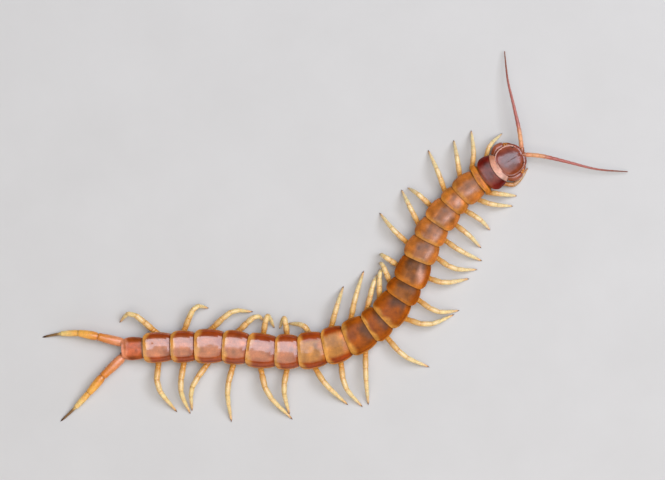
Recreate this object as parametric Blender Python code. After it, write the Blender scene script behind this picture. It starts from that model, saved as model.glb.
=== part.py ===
"""A giant centipede of the genus Scolopendra, life size, at rest on level ground.

Metres, +Z up. The origin is under the middle of the animal, at the height of its feet.
Sizes and places are written in millimetres."""

import bisect
import math

import bmesh
import bpy
from mathutils import Matrix, Vector

MM = 0.001
GAP = 0.3

# Middle of the animal's box in plan, which is moved to the origin
CENTRE = Vector((0.24, -0.07, 0.0))

# Plan of the body's midline, from the front of the head to the back of the last plate
MIDLINE = (
    (66.4, 29.75),
    (55.4, 22.5),
    (44.9, 14.95),
    (36.4, 5.0),
    (30.6, -5.4),
    (25.2, -17.6),
    (17.3, -28.4),
    (6.0, -35.8),
    (-7.5, -39.8),
    (-22.5, -40.3),
    (-38.5, -38.6),
    (-56.0, -38.7),
    (-74.0, -39.5),
)

# Visible length and width of the 21 back plates, from the neck to the tail
PLATES = (
    (6.9, 12.5),
    (2.4, 12.2),
    (7.8, 10.9),
    (5.3, 10.5),
    (7.6, 11.6),
    (6.9, 11.5),
    (7.5, 12.0),
    (8.8, 12.3),
    (6.2, 12.3),
    (8.9, 12.5),
    (6.2, 12.7),
    (8.8, 13.1),
    (8.3, 13.3),
    (9.0, 13.2),
    (8.1, 12.6),
    (10.0, 12.5),
    (8.5, 12.2),
    (9.8, 12.3),
    (8.3, 11.5),
    (9.7, 10.9),
    (6.9, 8.2),
)
HEAD_LENGTH = 9.9

# Heights of the trunk
BELLY = 1.3
BACK = 8.0
TAIL_SHRINK = 0.25  # how much lower the last plate lies, as a share
SHRINK_FROM = 17  # last plate at the full height

# Share of a plate's length, its width there, how far it dips, and the girth below it
PLATE_RINGS = (
    (0.0, 0.84, 0.50, 0.90),
    (0.2, 0.94, 0.12, 1.0),
    (0.6, 1.0, 0.0, 1.0),
    (0.86, 0.985, 0.0, 0.97),
    (1.0, 0.90, 0.06, 0.90),
)
COLLAR_RINGS = (
    (0.0, 0.88, 0.75, 0.90),
    (0.2, 0.98, 0.30, 1.0),
    (0.55, 1.0, 0.05, 1.0),
    (0.86, 0.97, 0.0, 0.97),
    (1.0, 0.88, 0.06, 0.90),
)
TAIL_RINGS = (
    *PLATE_RINGS[:-1],
    (1.0, 0.93, 0.06, 0.92),
    (1.05, 0.70, 0.80, 0.80),
)
STEP_AT_PLATE = 0.3

# Half section: share of the half width, and share of the height from belly to back
HALF_SECTION = (
    (0.0, 1.0),
    (0.42, 0.975),
    (0.78, 0.875),
    (0.95, 0.74),
    (1.0, 0.665),
    (0.93, 0.58),
    (0.77, 0.52),
    (0.71, 0.33),
    (0.66, 0.12),
    (0.52, 0.0),
)
PLATE_EDGE = 5  # points of the half section, from the middle, that belong to the back plate

# Walking leg: share of its length and share of its radius, from the hip to the claw
LEG_RINGS = (
    (0.0, 0.86),
    (0.07, 0.80),
    (0.19, 1.0),
    (0.31, 0.84),
    (0.43, 0.94),
    (0.53, 0.76),
    (0.65, 0.72),
    (0.79, 0.54),
    (0.92, 0.40),
    (1.0, 0.16),
)
LEG_RADIUS = 1.08
LEG_SIZES = (0.86, 1.04)  # size of the legs at the neck and at the tail
FIRST_LEG_SIZE = 0.85  # the first pair is slighter still
LEG_ROUNDNESS = 2  # bevel resolution of legs, feelers and claws
ROOT_SHARE = 1.02  # radius of a root against its limb
ROOT_SIDES = 8
HIP_SPOT = 0.50  # share of its plate's length at which a leg leaves the body
FIRST_HIP_SPOT = 0.32  # the first leg leaves further forward
HIP_OUT = 0.86  # share of the half width at which the hip ends
HIP_HEIGHT = 2.8
HIP_LENGTH = 2.2
KNEE_HEIGHT = 5.0  # where a knee's place has no height of its own
FOOT_HEIGHT = -0.12

# Places of knee and foot of each left leg, from the neck back
LEFT_STANCE = (
    ((54.7, 32.0), (59.2, 36.3)),
    ((49.0, 29.5), (48.3, 37.3)),
    ((43.2, 27.4), (42.2, 33.9)),
    ((36.4, 22.8), (33.2, 30.4)),
    ((29.4, 14.9), (26.0, 17.2)),
    ((26.6, 10.4), (23.8, 16.4)),
    ((20.6, 2.6), (16.1, 8.3)),
    ((17.5, -6.9), (16.3, -6.1)),
    ((17.2, -10.3), (15.9, -9.2)),
    ((16.0, -13.4), (17.0, -11.2)),
    ((13.8, -16.6), (15.4, -13.2)),
    ((7.5, -21.3), (10.5, -12.1)),
    ((1.0, -24.5), (3.3, -17.6)),
    ((-10.8, -31.2), (-16.0, -30.6)),
    ((-17.4, -28.6), (-19.2, -32.4)),
    ((-23.4, -27.8), (-21.0, -32.2)),
    ((-27.6, -28.0), (-24.3, -29.9)),
    ((-35.9, -26.4), (-28.6, -26.5)),
    ((-48.9, -24.9), (-44.2, -25.2)),
    ((-71.0, -27.0), (-75.5, -30.2)),
)
RIGHT_STANCE = (
    ((63.9, 18.45, 1.6), (68.35, 24.2)),
    ((57.6, 15.0), (64.4, 14.3)),
    ((55.4, 11.3), (63.0, 10.7)),
    ((51.2, 6.0), (55.0, 2.3)),
    ((47.2, 0.6), (51.8, -4.0)),
    ((44.2, -4.9), (52.1, -8.6)),
    ((42.0, -11.2), (50.4, -11.7)),
    ((38.8, -16.2), (47.6, -14.9)),
    ((36.0, -26.3), (44.1, -26.1)),
    ((33.0, -30.9), (42.3, -27.5)),
    ((24.5, -41.8), (33.6, -46.0)),
    ((11.2, -49.6), (12.1, -59.3)),
    ((3.9, -52.6), (10.0, -60.0)),
    ((-3.0, -51.8), (4.9, -59.3)),
    ((-17.6, -53.8), (-15.7, -62.6)),
    ((-23.2, -55.2), (-14.6, -64.4)),
    ((-37.4, -54.0), (-36.1, -65.3)),
    ((-49.8, -53.0), (-50.0, -61.4)),
    ((-53.8, -53.8), (-50.6, -62.4)),
    ((-61.8, -52.8), (-55.3, -61.8)),
)

# Last pair of legs, trailed behind: knots in space and rings of share and radius
LEFT_TRAIL = (
    (-74.1, -37.3, 3.5),
    (-81.2, -35.5, 4.3),
    (-89.6, -33.9, 3.8),
    (-96.3, -34.2, 1.9),
    (-102.8, -35.5, 0.0),
)
RIGHT_TRAIL = (
    (-74.1, -42.2, 3.5),
    (-80.2, -48.0, 4.3),
    (-85.8, -54.6, 3.8),
    (-91.4, -60.6, 1.8),
    (-96.4, -65.2, 0.0),
)
TRAIL_ROOT_RADIUS = 1.25
TRAIL_RINGS = (
    (0.0, 1.15),
    (0.06, 1.35),
    (0.17, 1.64),
    (0.29, 1.42),
    (0.32, 1.22),
    (0.42, 1.52),
    (0.52, 1.26),
    (0.56, 1.05),
    (0.65, 1.12),
    (0.74, 0.92),
    (0.78, 0.62),
    (0.87, 0.50),
    (0.95, 0.38),
    (1.0, 0.16),
)

# Pointed processes beside the roots of the last legs, in the frame of the last plate's end
PROCESS_PLACE = Vector((0.9, 1.15, 2.3))
PROCESS_WAY = Vector((-1.0, 0.12, -0.18))
PROCESS_LENGTH = 2.9
PROCESS_RADII = (0.72, 0.16)

# Feelers: knots in space and rings of share and radius
LEFT_FEELER = (
    (65.8, 31.3, 5.3),
    (64.9, 37.4, 5.9),
    (62.9, 46.4, 5.4),
    (61.0, 55.0, 3.8),
    (60.0, 65.2, 1.5),
)
RIGHT_FEELER = (
    (67.2, 28.7, 5.3),
    (73.0, 28.2, 5.9),
    (82.0, 26.1, 5.6),
    (92.5, 23.6, 4.0),
    (103.3, 22.8, 1.6),
)
FEELER_RADIUS = 0.82
FEELER_RINGS = (
    (0.0, 0.92),
    (0.05, 1.0),
    (0.15, 0.95),
    (0.28, 0.78),
    (0.45, 0.62),
    (0.62, 0.50),
    (0.80, 0.38),
    (1.0, 0.20),
)

# Head: shield outline as a rounded square, in its own frame
HEAD_WIDTH = 10.8
HEAD_ROUNDNESS = 2.3
HEAD_TOP = 7.1
HEAD_EDGE = 5.5
HEAD_SHORT = 0.6  # how far the shield's front stays behind the feelers' roots
HEAD_RINGS = (0.0, 0.07, 0.2, 0.36, 0.54, 0.72, 0.87, 0.96, 1.0)
HEAD_ARCH = (1.0, 0.78, 0.45, 0.0, -0.45, -0.78, -1.0)
HEAD_FLOOR = ((-0.9, 4.75), (-0.6, 4.3), (0.0, 4.3), (0.6, 4.3), (0.9, 4.75))
HEAD_END_WIDTH = 0.45  # the flat front and back, as a share of the full width
HEAD_END_RISE = 0.35  # how high the arch stays there, as a share
HEAD_END_POWER = 4
SOCKET_RADIUS = 0.85
SOCKET_LENGTH = 1.6

# Each eye: a low disc with four lenses, sunk in a pocket of the head
EYE_PLACE = Vector((2.95, 4.0, 5.75))
EYE_TILT = math.radians(38)
EYE_YAW = math.radians(36)
EYE_DISC = 0.72
EYE_DEPTH = 0.5
EYE_SIDES = 12
LENS_RADIUS = 0.27
LENS_SPREAD = 0.40
LENS_COUNT = 4
LENS_SIDES = 8
LENS_RINGS = 5
POCKET_TOP = 3.0

# Jaw plate under the head and the poison claws, in the head's own frame
JAW_SIZE = Vector((6.4, 6.2, 2.3))
JAW_PLACE = Vector((-2.6, 0.0, 2.75))
JAW_CORNER = 1.6
CLAW_ROOT_RADIUS = 1.1
CLAW_ROOT_LENGTH = 2.4
CLAW_KNOTS = (
    (-4.2, 4.7, 2.7),
    (-2.0, 5.95, 2.6),
    (1.0, 5.35, 2.45),
    (3.2, 3.4, 2.35),
    (4.4, 0.75, 2.3),
)
CLAW_RINGS = (
    (0.0, 1.15),
    (0.10, 1.32),
    (0.24, 1.45),
    (0.42, 1.28),
    (0.52, 1.02),
    (0.66, 0.82),
    (0.84, 0.45),
    (1.0, 0.12),
)

COLOURS = {
    "head": (0.22, 0.045, 0.025),
    "plate": (0.42, 0.13, 0.045),
    "leg": (0.75, 0.42, 0.12),
    "trail": (0.62, 0.20, 0.05),
    "feeler": (0.45, 0.13, 0.09),
    "claw": (0.35, 0.09, 0.03),
    "eye": (0.02, 0.015, 0.012),
}
ROUGHNESS = 0.28
SHARP_ANGLE = math.radians(40)


class Path:
    """A smooth line through its knots, measured by its own length."""

    STEPS = 16  # points for each stretch between knots
    REACH = 1 / 60  # share of the length over which the heading is read

    def __init__(self, knots):
        knots = [Vector((*knot, 0.0)[:3]) for knot in knots]
        ends = [2 * knots[0] - knots[1], *knots, 2 * knots[-1] - knots[-2]]
        self.points = []
        for before, start, end, after in zip(ends, ends[1:], ends[2:], ends[3:]):
            for step in range(self.STEPS):
                self.points.append(spline_point(before, start, end, after, step / self.STEPS))
        self.points.append(knots[-1])
        self.marks = [0.0]
        for start, end in zip(self.points, self.points[1:]):
            self.marks.append(self.marks[-1] + (end - start).length)
        self.length = self.marks[-1]

    def at(self, distance):
        """The point at this distance, carried straight on past either end."""
        index = bisect.bisect_right(self.marks, distance) - 1
        index = min(max(index, 0), len(self.points) - 2)
        step = self.marks[index + 1] - self.marks[index]
        share = (distance - self.marks[index]) / step
        return self.points[index].lerp(self.points[index + 1], share)

    def heading(self, distance):
        reach = self.length * self.REACH
        return (self.at(distance + reach) - self.at(distance - reach)).normalized()


def spline_point(before, start, end, after, share):
    """A Catmull-Rom point between start and end."""
    slope_in = (end - before) / 2
    slope_out = (after - start) / 2
    square = share * share
    cube = square * share
    return (
        (2 * cube - 3 * square + 1) * start
        + (cube - 2 * square + share) * slope_in
        + (3 * square - 2 * cube) * end
        + (cube - square) * slope_out
    )


SPINE = Path(MIDLINE)


def body_frame(distance):
    """The frame this far behind the head's front: X forward, Y to the animal's left, Z up."""
    forward = -SPINE.heading(distance)
    left = Vector((-forward.y, forward.x, 0.0))
    axes = Matrix((forward, left, Vector((0.0, 0.0, 1.0)))).transposed()
    return Matrix.Translation(SPINE.at(distance)) @ axes.to_4x4()


def plate_start(number):
    """Distance behind the head's front at which plate number 1 to 21 begins."""
    return HEAD_LENGTH + sum(length for length, _ in PLATES[: number - 1])


def shrink(number):
    """Heights of the plate as a share, lower over the last few."""
    behind = max(0, number - SHRINK_FROM) / (len(PLATES) - SHRINK_FROM)
    return 1.0 - TAIL_SHRINK * behind**2


def material(slot):
    made = bpy.data.materials.get(slot) or bpy.data.materials.new(slot)
    made.use_nodes = True
    shader = made.node_tree.nodes["Principled BSDF"]
    shader.inputs["Base Color"].default_value = (*COLOURS[slot], 1.0)
    shader.inputs["Roughness"].default_value = ROUGHNESS
    shader.inputs["Metallic"].default_value = 0.0
    return made


def new_collection(name):
    made = bpy.data.collections.new(name)
    bpy.context.scene.collection.children.link(made)
    return made


def new_object(name, mesh, slot, collection):
    made = bpy.data.objects.new(name, mesh)
    made.data.materials.clear()
    made.data.materials.append(material(slot))
    collection.objects.link(made)
    return made


def mesh_from(name, form):
    """A mesh from a bmesh in millimetres, with its faces turned outwards and round parts smooth."""
    bmesh.ops.recalc_face_normals(form, faces=form.faces)
    bmesh.ops.transform(
        form, matrix=Matrix.Scale(MM, 4) @ Matrix.Translation(-CENTRE), verts=form.verts
    )
    mesh = bpy.data.meshes.new(name)
    form.to_mesh(mesh)
    form.free()
    mesh.shade_smooth()
    mesh.set_sharp_from_angle(angle=SHARP_ANGLE)
    return mesh


def loft(rings):
    """A closed form through rings of equal count, with a flat face at each end."""
    form = bmesh.new()
    loops = [[form.verts.new(point) for point in ring] for ring in rings]
    for loop, following in zip(loops, loops[1:]):
        for index in range(len(loop)):
            after = (index + 1) % len(loop)
            form.faces.new((loop[index], loop[after], following[after], following[index]))
    form.faces.new(loops[0])
    form.faces.new(reversed(loops[-1]))
    return form


def tube(name, path, rings, radius, slot, collection, start=0.0):
    """A round tapering form along a path, as a mesh with welded caps."""
    curve = bpy.data.curves.new(name, "CURVE")
    curve.dimensions = "3D"
    curve.bevel_depth = radius * MM
    curve.bevel_resolution = LEG_ROUNDNESS
    curve.use_fill_caps = True
    spline = curve.splines.new("POLY")
    spline.points.add(len(rings) - 1)
    for point, (share, width) in zip(spline.points, rings):
        place = path.at(start + share * (path.length - start))
        point.co = (*((place - CENTRE) * MM), 1.0)
        point.radius = width
    guide = bpy.data.objects.new(name, curve)
    collection.objects.link(guide)
    graph = bpy.context.evaluated_depsgraph_get()
    mesh = bpy.data.meshes.new_from_object(guide.evaluated_get(graph))
    form = bmesh.new()
    form.from_mesh(mesh)
    bmesh.ops.remove_doubles(form, verts=form.verts, dist=1e-6)
    bmesh.ops.recalc_face_normals(form, faces=form.faces)
    form.to_mesh(mesh)
    form.free()
    mesh.shade_smooth()
    bpy.data.objects.remove(guide)
    return new_object(name, mesh, slot, collection)


def stand_on_floor(piece):
    """Cuts off what reaches below the feet's level and closes the cut with a flat face."""
    form = bmesh.new()
    form.from_mesh(piece.data)
    cut = bmesh.ops.bisect_plane(
        form,
        geom=[*form.verts, *form.edges, *form.faces],
        plane_co=(0.0, 0.0, 0.0),
        plane_no=(0.0, 0.0, 1.0),
        clear_inner=True,
    )
    edges = [part for part in cut["geom_cut"] if isinstance(part, bmesh.types.BMEdge)]
    bmesh.ops.holes_fill(form, edges=edges)
    bmesh.ops.recalc_face_normals(form, faces=form.faces)
    form.to_mesh(piece.data)
    form.free()


def join(base, pieces, operation="UNION"):
    """Adds the pieces to the base or cuts them from it, and keeps the largest closed surface."""
    tools = bpy.data.collections.new("tools")
    bpy.context.scene.collection.children.link(tools)
    for piece in pieces:
        for home in list(piece.users_collection):
            home.objects.unlink(piece)
        tools.objects.link(piece)
    modifier = base.modifiers.new("join", "BOOLEAN")
    modifier.operation = operation
    modifier.operand_type = "COLLECTION"
    modifier.collection = tools
    modifier.solver = "MANIFOLD"
    with bpy.context.temp_override(object=base, active_object=base):
        bpy.ops.object.modifier_apply(modifier=modifier.name)
    for piece in pieces:
        bpy.data.objects.remove(piece)
    bpy.data.collections.remove(tools)
    keep_largest(base.data)


def keep_largest(mesh):
    """Leaves only the closed surface with the most faces."""
    form = bmesh.new()
    form.from_mesh(mesh)
    left = set(form.verts)
    shells = []
    while left:
        shell = {left.pop()}
        edge_of = list(shell)
        while edge_of:
            vert = edge_of.pop()
            for edge in vert.link_edges:
                other = edge.other_vert(vert)
                if other not in shell:
                    shell.add(other)
                    edge_of.append(other)
        left -= shell
        shells.append(shell)
    shells.sort(key=len)
    for shell in shells[:-1]:
        bmesh.ops.delete(form, geom=list(shell), context="VERTS")
    form.to_mesh(mesh)
    form.free()


def section_points(half_width, height, wide, drop, girth):
    """One ring across the trunk in its own frame, from the back round to the belly and up again."""
    top = BELLY + (BACK - BELLY) * height
    half = []
    for index, (out, up) in enumerate(HALF_SECTION):
        in_plate = index < PLATE_EDGE
        breadth = half_width * (wide if in_plate else girth)
        sink = drop * up if in_plate else 0.0
        half.append((out * breadth, BELLY + (top - BELLY) * up - sink))
    middle = [(0.0, half[0][1])]
    left = half[1:]
    right = [(-out, up) for out, up in reversed(half[1:])]
    belly = [(0.0, BELLY)]
    return [Vector((0.0, out, up)) for out, up in middle + left + belly + right]


def plate_rings(number):
    """The rings of one segment, front to back, in the world."""
    length, width = PLATES[number - 1]
    start = plate_start(number)
    shape = {1: COLLAR_RINGS, len(PLATES): TAIL_RINGS}.get(number, PLATE_RINGS)
    rings = []
    for share, wide, drop, girth in shape:
        inset = STEP_AT_PLATE * (0.5 - share)
        frame = body_frame(start + share * length + inset)
        points = section_points(width / 2, shrink(number), wide, drop, girth)
        rings.append([frame @ point for point in points])
    return rings


def hip_place(number, side):
    """Where a walking leg leaves the body."""
    length, width = PLATES[number - 1]
    spot = FIRST_HIP_SPOT if number == 1 else HIP_SPOT
    frame = body_frame(plate_start(number) + spot * length)
    return frame @ Vector((0.0, side * HIP_OUT * width / 2, HIP_HEIGHT * shrink(number)))


def leg_path(number, side):
    """Hip, knee and claw of a walking leg."""
    stance = LEFT_STANCE if side > 0 else RIGHT_STANCE
    knee, foot = stance[number - 1]
    return Path((hip_place(number, side), (*knee, KNEE_HEIGHT)[:3], (*foot, FOOT_HEIGHT)))


def cone(name, start, end, radii, collection):
    """A round piece from start to end with a radius at each."""
    way = end - start
    form = bmesh.new()
    bmesh.ops.create_cone(
        form,
        cap_ends=True,
        segments=ROOT_SIDES,
        radius1=radii[0],
        radius2=radii[1],
        depth=way.length,
        matrix=Matrix.Translation((start + end) / 2) @ way.to_track_quat("Z", "Y").to_matrix().to_4x4(),
    )
    return new_object(name, mesh_from(name, form), "plate", collection)


def stub(name, path, radius, length, collection):
    """A short round root that ends flat just before a limb begins."""
    start = path.at(0.0)
    way = (path.at(GAP) - start).normalized()
    return cone(name, start - way * length, start, (radius, radius), collection)


def process(side, collection):
    """The pointed end of the last segment's flank, under the last plate."""
    frame = body_frame(plate_start(len(PLATES) + 1))
    way = Vector((PROCESS_WAY.x, side * PROCESS_WAY.y, PROCESS_WAY.z)).normalized()
    start = Vector((PROCESS_PLACE.x, side * PROCESS_PLACE.y, PROCESS_PLACE.z))
    end = start + way * PROCESS_LENGTH
    return cone(f"process_{side}", frame @ start, frame @ end, PROCESS_RADII, collection)


def build_trunk(parts, spare):
    """The collar alone, then plates in pairs, each length with the roots of its legs."""
    lengths = [(1,)] + [(number, number + 1) for number in range(2, len(PLATES), 2)]
    for numbers in lengths:
        name = "trunk_" + "_".join(f"{number:02d}" for number in numbers)
        rings = [ring for number in numbers for ring in plate_rings(number)]
        trunk = new_object(name, mesh_from(name, loft(rings)), "plate", parts)
        roots = []
        for number in numbers:
            for side, trail in ((1, LEFT_TRAIL), (-1, RIGHT_TRAIL)):
                root = f"root_{number}_{side}"
                if number == len(PLATES):
                    roots.append(stub(root, Path(trail), TRAIL_ROOT_RADIUS, HIP_LENGTH, spare))
                else:
                    radius = LEG_RADIUS * leg_size(number) * ROOT_SHARE
                    roots.append(stub(root, leg_path(number, side), radius, HIP_LENGTH, spare))
        if numbers == (1,):
            roots.append(jaw_plate(spare))
            for side in (1, -1):
                root = f"claw_root_{side}"
                roots.append(stub(root, claw_path(side), CLAW_ROOT_RADIUS, CLAW_ROOT_LENGTH, spare))
        if len(PLATES) in numbers:
            roots += [process(1, spare), process(-1, spare)]
        join(trunk, roots)


def leg_size(number):
    """Legs are finer near the head and stouter towards the tail."""
    front, back = LEG_SIZES
    size = front + (back - front) * number / len(PLATES)
    return size * (FIRST_LEG_SIZE if number == 1 else 1.0)


def build_legs(parts):
    for side, name in ((1, "left"), (-1, "right")):
        for number in range(1, len(PLATES)):
            leg = tube(
                f"leg_{name}_{number:02d}",
                leg_path(number, side),
                LEG_RINGS,
                LEG_RADIUS * leg_size(number),
                "leg",
                parts,
                start=GAP,
            )
            stand_on_floor(leg)
    for name, trail in (("left", LEFT_TRAIL), ("right", RIGHT_TRAIL)):
        leg = tube(f"leg_{name}_21", Path(trail), TRAIL_RINGS, 1.0, "trail", parts, start=GAP)
        stand_on_floor(leg)


def head_frame():
    """The head's own frame: its middle, X forward and Y to the animal's left."""
    return body_frame(HEAD_LENGTH / 2)


def head_half_width(share):
    """Half width of the shield at a share of its length."""
    return HEAD_WIDTH / 2 * (1 - abs(2 * share - 1) ** HEAD_ROUNDNESS) ** (1 / HEAD_ROUNDNESS)


def head_rings():
    """Sections of the shield from back to front, each a low arch on a flat underside."""
    frame = head_frame()
    rings = []
    for share in HEAD_RINGS:
        half = max(head_half_width(share), HEAD_END_WIDTH * HEAD_WIDTH / 2)
        middle = 1 - abs(2 * share - 1) ** HEAD_END_POWER
        rise = (HEAD_TOP - HEAD_EDGE) * (HEAD_END_RISE + (1 - HEAD_END_RISE) * middle)
        forward = (share - 0.5) * (HEAD_LENGTH - HEAD_SHORT) - (HEAD_SHORT - GAP) / 2
        arch = [(out, HEAD_EDGE + rise * (1 - out * out) ** 0.5) for out in HEAD_ARCH]
        ring = [Vector((forward, out * half, up)) for out, up in (*arch, *HEAD_FLOOR)]
        rings.append([frame @ point for point in ring])
    return rings


def jaw_plate(collection):
    """The broad plate under the head that carries the poison claws."""
    form = bmesh.new()
    bmesh.ops.create_cube(form, size=1.0)
    bmesh.ops.scale(form, vec=JAW_SIZE, verts=form.verts)
    front = [edge for edge in form.edges if all(vert.co.x > 0 for vert in edge.verts)]
    corners = [edge for edge in front if edge.verts[0].co.z * edge.verts[1].co.z < 0]
    bmesh.ops.bevel(
        form, geom=corners, offset=JAW_CORNER, segments=2, profile=0.5, affect="EDGES"
    )
    matrix = head_frame() @ Matrix.Translation(JAW_PLACE)
    bmesh.ops.transform(form, matrix=matrix, verts=form.verts)
    return new_object("jaw_plate", mesh_from("jaw_plate", form), "claw", collection)


def claw_path(side):
    frame = head_frame()
    return Path([frame @ Vector((x, side * y, z)) for x, y, z in CLAW_KNOTS])


def eye_frame(side):
    """Middle of a group of lenses on the head's side, with Z pointing out and up."""
    place = Vector((EYE_PLACE.x, side * EYE_PLACE.y, EYE_PLACE.z))
    turn = Matrix.Rotation(-side * (math.pi / 2 - EYE_TILT), 4, "X")
    yaw = Matrix.Rotation(-side * EYE_YAW, 4, "Z")
    return head_frame() @ Matrix.Translation(place) @ yaw @ turn


def round_piece(name, matrix, radius, bottom, top, slot, collection):
    """A short upright cylinder in the frame of a matrix."""
    form = bmesh.new()
    bmesh.ops.create_cone(
        form,
        cap_ends=True,
        segments=EYE_SIDES,
        radius1=radius,
        radius2=radius,
        depth=top - bottom,
        matrix=matrix @ Matrix.Translation((0.0, 0.0, (top + bottom) / 2)),
    )
    return new_object(name, mesh_from(name, form), slot, collection)


def build_eye(name, side, parts, spare):
    """Four small lenses in a lozenge on one low disc."""
    frame = eye_frame(side)
    eye = round_piece(f"eye_{name}", frame, EYE_DISC, -EYE_DEPTH, 0.0, "eye", parts)
    lenses = []
    for turn in range(LENS_COUNT):
        form = bmesh.new()
        angle = turn * math.tau / LENS_COUNT
        place = Vector((LENS_SPREAD * math.cos(angle), LENS_SPREAD * math.sin(angle), 0.0))
        bmesh.ops.create_uvsphere(
            form,
            u_segments=LENS_SIDES,
            v_segments=LENS_RINGS,
            radius=LENS_RADIUS,
            matrix=frame @ Matrix.Translation(place),
        )
        lens = f"lens_{name}_{turn}"
        lenses.append(new_object(lens, mesh_from(lens, form), "eye", spare))
    join(eye, lenses)


def build_head(parts, spare):
    head = new_object("head", mesh_from("head", loft(head_rings())), "head", parts)
    roots = []
    for name, feeler in (("left", LEFT_FEELER), ("right", RIGHT_FEELER)):
        root = f"socket_{name}"
        roots.append(stub(root, Path(feeler), SOCKET_RADIUS, SOCKET_LENGTH, spare))
    join(head, roots)
    pockets = []
    for name, side in (("left", 1), ("right", -1)):
        pocket = f"pocket_{name}"
        wide = EYE_DISC + GAP
        deep = EYE_DEPTH + GAP
        pockets.append(
            round_piece(pocket, eye_frame(side), wide, -deep, POCKET_TOP, "head", spare)
        )
        build_eye(name, side, parts, spare)
    join(head, pockets, "DIFFERENCE")
    for name, feeler in (("left", LEFT_FEELER), ("right", RIGHT_FEELER)):
        feeler_name = f"antenna_{name}"
        tube(feeler_name, Path(feeler), FEELER_RINGS, FEELER_RADIUS, "feeler", parts, start=GAP)
    for name, side in (("left", 1), ("right", -1)):
        tube(f"forcipule_{name}", claw_path(side), CLAW_RINGS, 1.0, "claw", parts, start=GAP)


def main():
    for old in list(bpy.data.objects):
        bpy.data.objects.remove(old)
    parts = new_collection("giant_centipede")
    spare = new_collection("spare")
    build_trunk(parts, spare)
    build_legs(parts)
    build_head(parts, spare)


main()
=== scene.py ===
"""Looks of a life-size giant centipede: fine surfaces, colours, light and camera over its frame.

Sizes are in millimetres in plan coordinates until a mesh is made, and colours are linear."""

import math
import random

import bmesh
import bpy
import numpy as np
from mathutils import Matrix, Vector


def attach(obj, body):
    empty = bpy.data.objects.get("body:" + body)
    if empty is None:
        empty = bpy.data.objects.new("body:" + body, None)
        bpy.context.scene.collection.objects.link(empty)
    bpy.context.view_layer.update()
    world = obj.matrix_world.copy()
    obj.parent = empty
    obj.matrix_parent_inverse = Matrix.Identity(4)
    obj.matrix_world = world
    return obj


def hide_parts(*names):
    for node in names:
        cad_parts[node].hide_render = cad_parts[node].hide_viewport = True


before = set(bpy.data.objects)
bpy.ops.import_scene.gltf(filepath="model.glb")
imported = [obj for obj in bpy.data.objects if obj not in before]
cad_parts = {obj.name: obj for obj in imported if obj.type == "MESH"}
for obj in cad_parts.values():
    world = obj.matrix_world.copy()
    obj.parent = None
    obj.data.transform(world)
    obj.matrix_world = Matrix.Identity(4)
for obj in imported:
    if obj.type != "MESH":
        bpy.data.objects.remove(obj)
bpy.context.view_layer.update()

MM = 0.001
CENTRE = np.array((0.24, -0.07, 0.0))

# Plan of the body's midline, from the front of the head to the back of the last plate
MIDLINE = (
    (66.4, 29.75),
    (55.4, 22.5),
    (44.9, 14.95),
    (36.4, 5.0),
    (30.6, -5.4),
    (25.2, -17.6),
    (17.3, -28.4),
    (6.0, -35.8),
    (-7.5, -39.8),
    (-22.5, -40.3),
    (-38.5, -38.6),
    (-56.0, -38.7),
    (-74.0, -39.5),
)

# Visible length and width of the 21 back plates, from the neck to the tail
PLATES = (
    (6.9, 12.5),
    (2.4, 12.2),
    (7.8, 10.9),
    (5.3, 10.5),
    (7.6, 11.6),
    (6.9, 11.5),
    (7.5, 12.0),
    (8.8, 12.3),
    (6.2, 12.3),
    (8.9, 12.5),
    (6.2, 12.7),
    (8.8, 13.1),
    (8.3, 13.3),
    (9.0, 13.2),
    (8.1, 12.6),
    (10.0, 12.5),
    (8.5, 12.2),
    (9.8, 12.3),
    (8.3, 11.5),
    (9.7, 10.9),
    (6.9, 8.2),
)
LAST = len(PLATES)
HEAD_LENGTH = 9.9
BELLY = 1.3
BACK = 8.0
TAIL_SHRINK = 0.25
SHRINK_FROM = 17
SPIRACLES = (3, 5, 8, 10, 12, 14, 16, 18, 20)

# Walking legs: hips, knees and feet as in the frame
HIP_SPOT = 0.50
FIRST_HIP_SPOT = 0.32
HIP_OUT = 0.86
HIP_HEIGHT = 2.8
KNEE_HEIGHT = 5.0
FOOT_HEIGHT = 0.16
LEG_RADIUS = 1.08
LEG_SIZES = (0.86, 1.04)
FIRST_LEG_SIZE = 0.85
LEFT_STANCE = (
    ((54.7, 32.0), (59.2, 36.3)),
    ((49.0, 29.5), (48.3, 37.3)),
    ((43.2, 27.4), (42.2, 33.9)),
    ((36.4, 22.8), (33.2, 30.4)),
    ((29.4, 14.9), (26.0, 17.2)),
    ((26.6, 10.4), (23.8, 16.4)),
    ((20.6, 2.6), (16.1, 8.3)),
    ((17.5, -6.9), (16.3, -6.1)),
    ((17.2, -10.3), (15.9, -9.2)),
    ((16.0, -13.4), (17.0, -11.2)),
    ((13.8, -16.6), (15.4, -13.2)),
    ((7.5, -21.3), (10.5, -12.1)),
    ((1.0, -24.5), (3.3, -17.6)),
    ((-10.8, -31.2), (-16.0, -30.6)),
    ((-17.4, -28.6), (-19.2, -32.4)),
    ((-23.4, -27.8), (-21.0, -32.2)),
    ((-27.6, -28.0), (-24.3, -29.9)),
    ((-35.9, -26.4), (-28.6, -26.5)),
    ((-48.9, -24.9), (-44.2, -25.2)),
    ((-71.0, -27.0), (-75.5, -30.2)),
)
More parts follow.
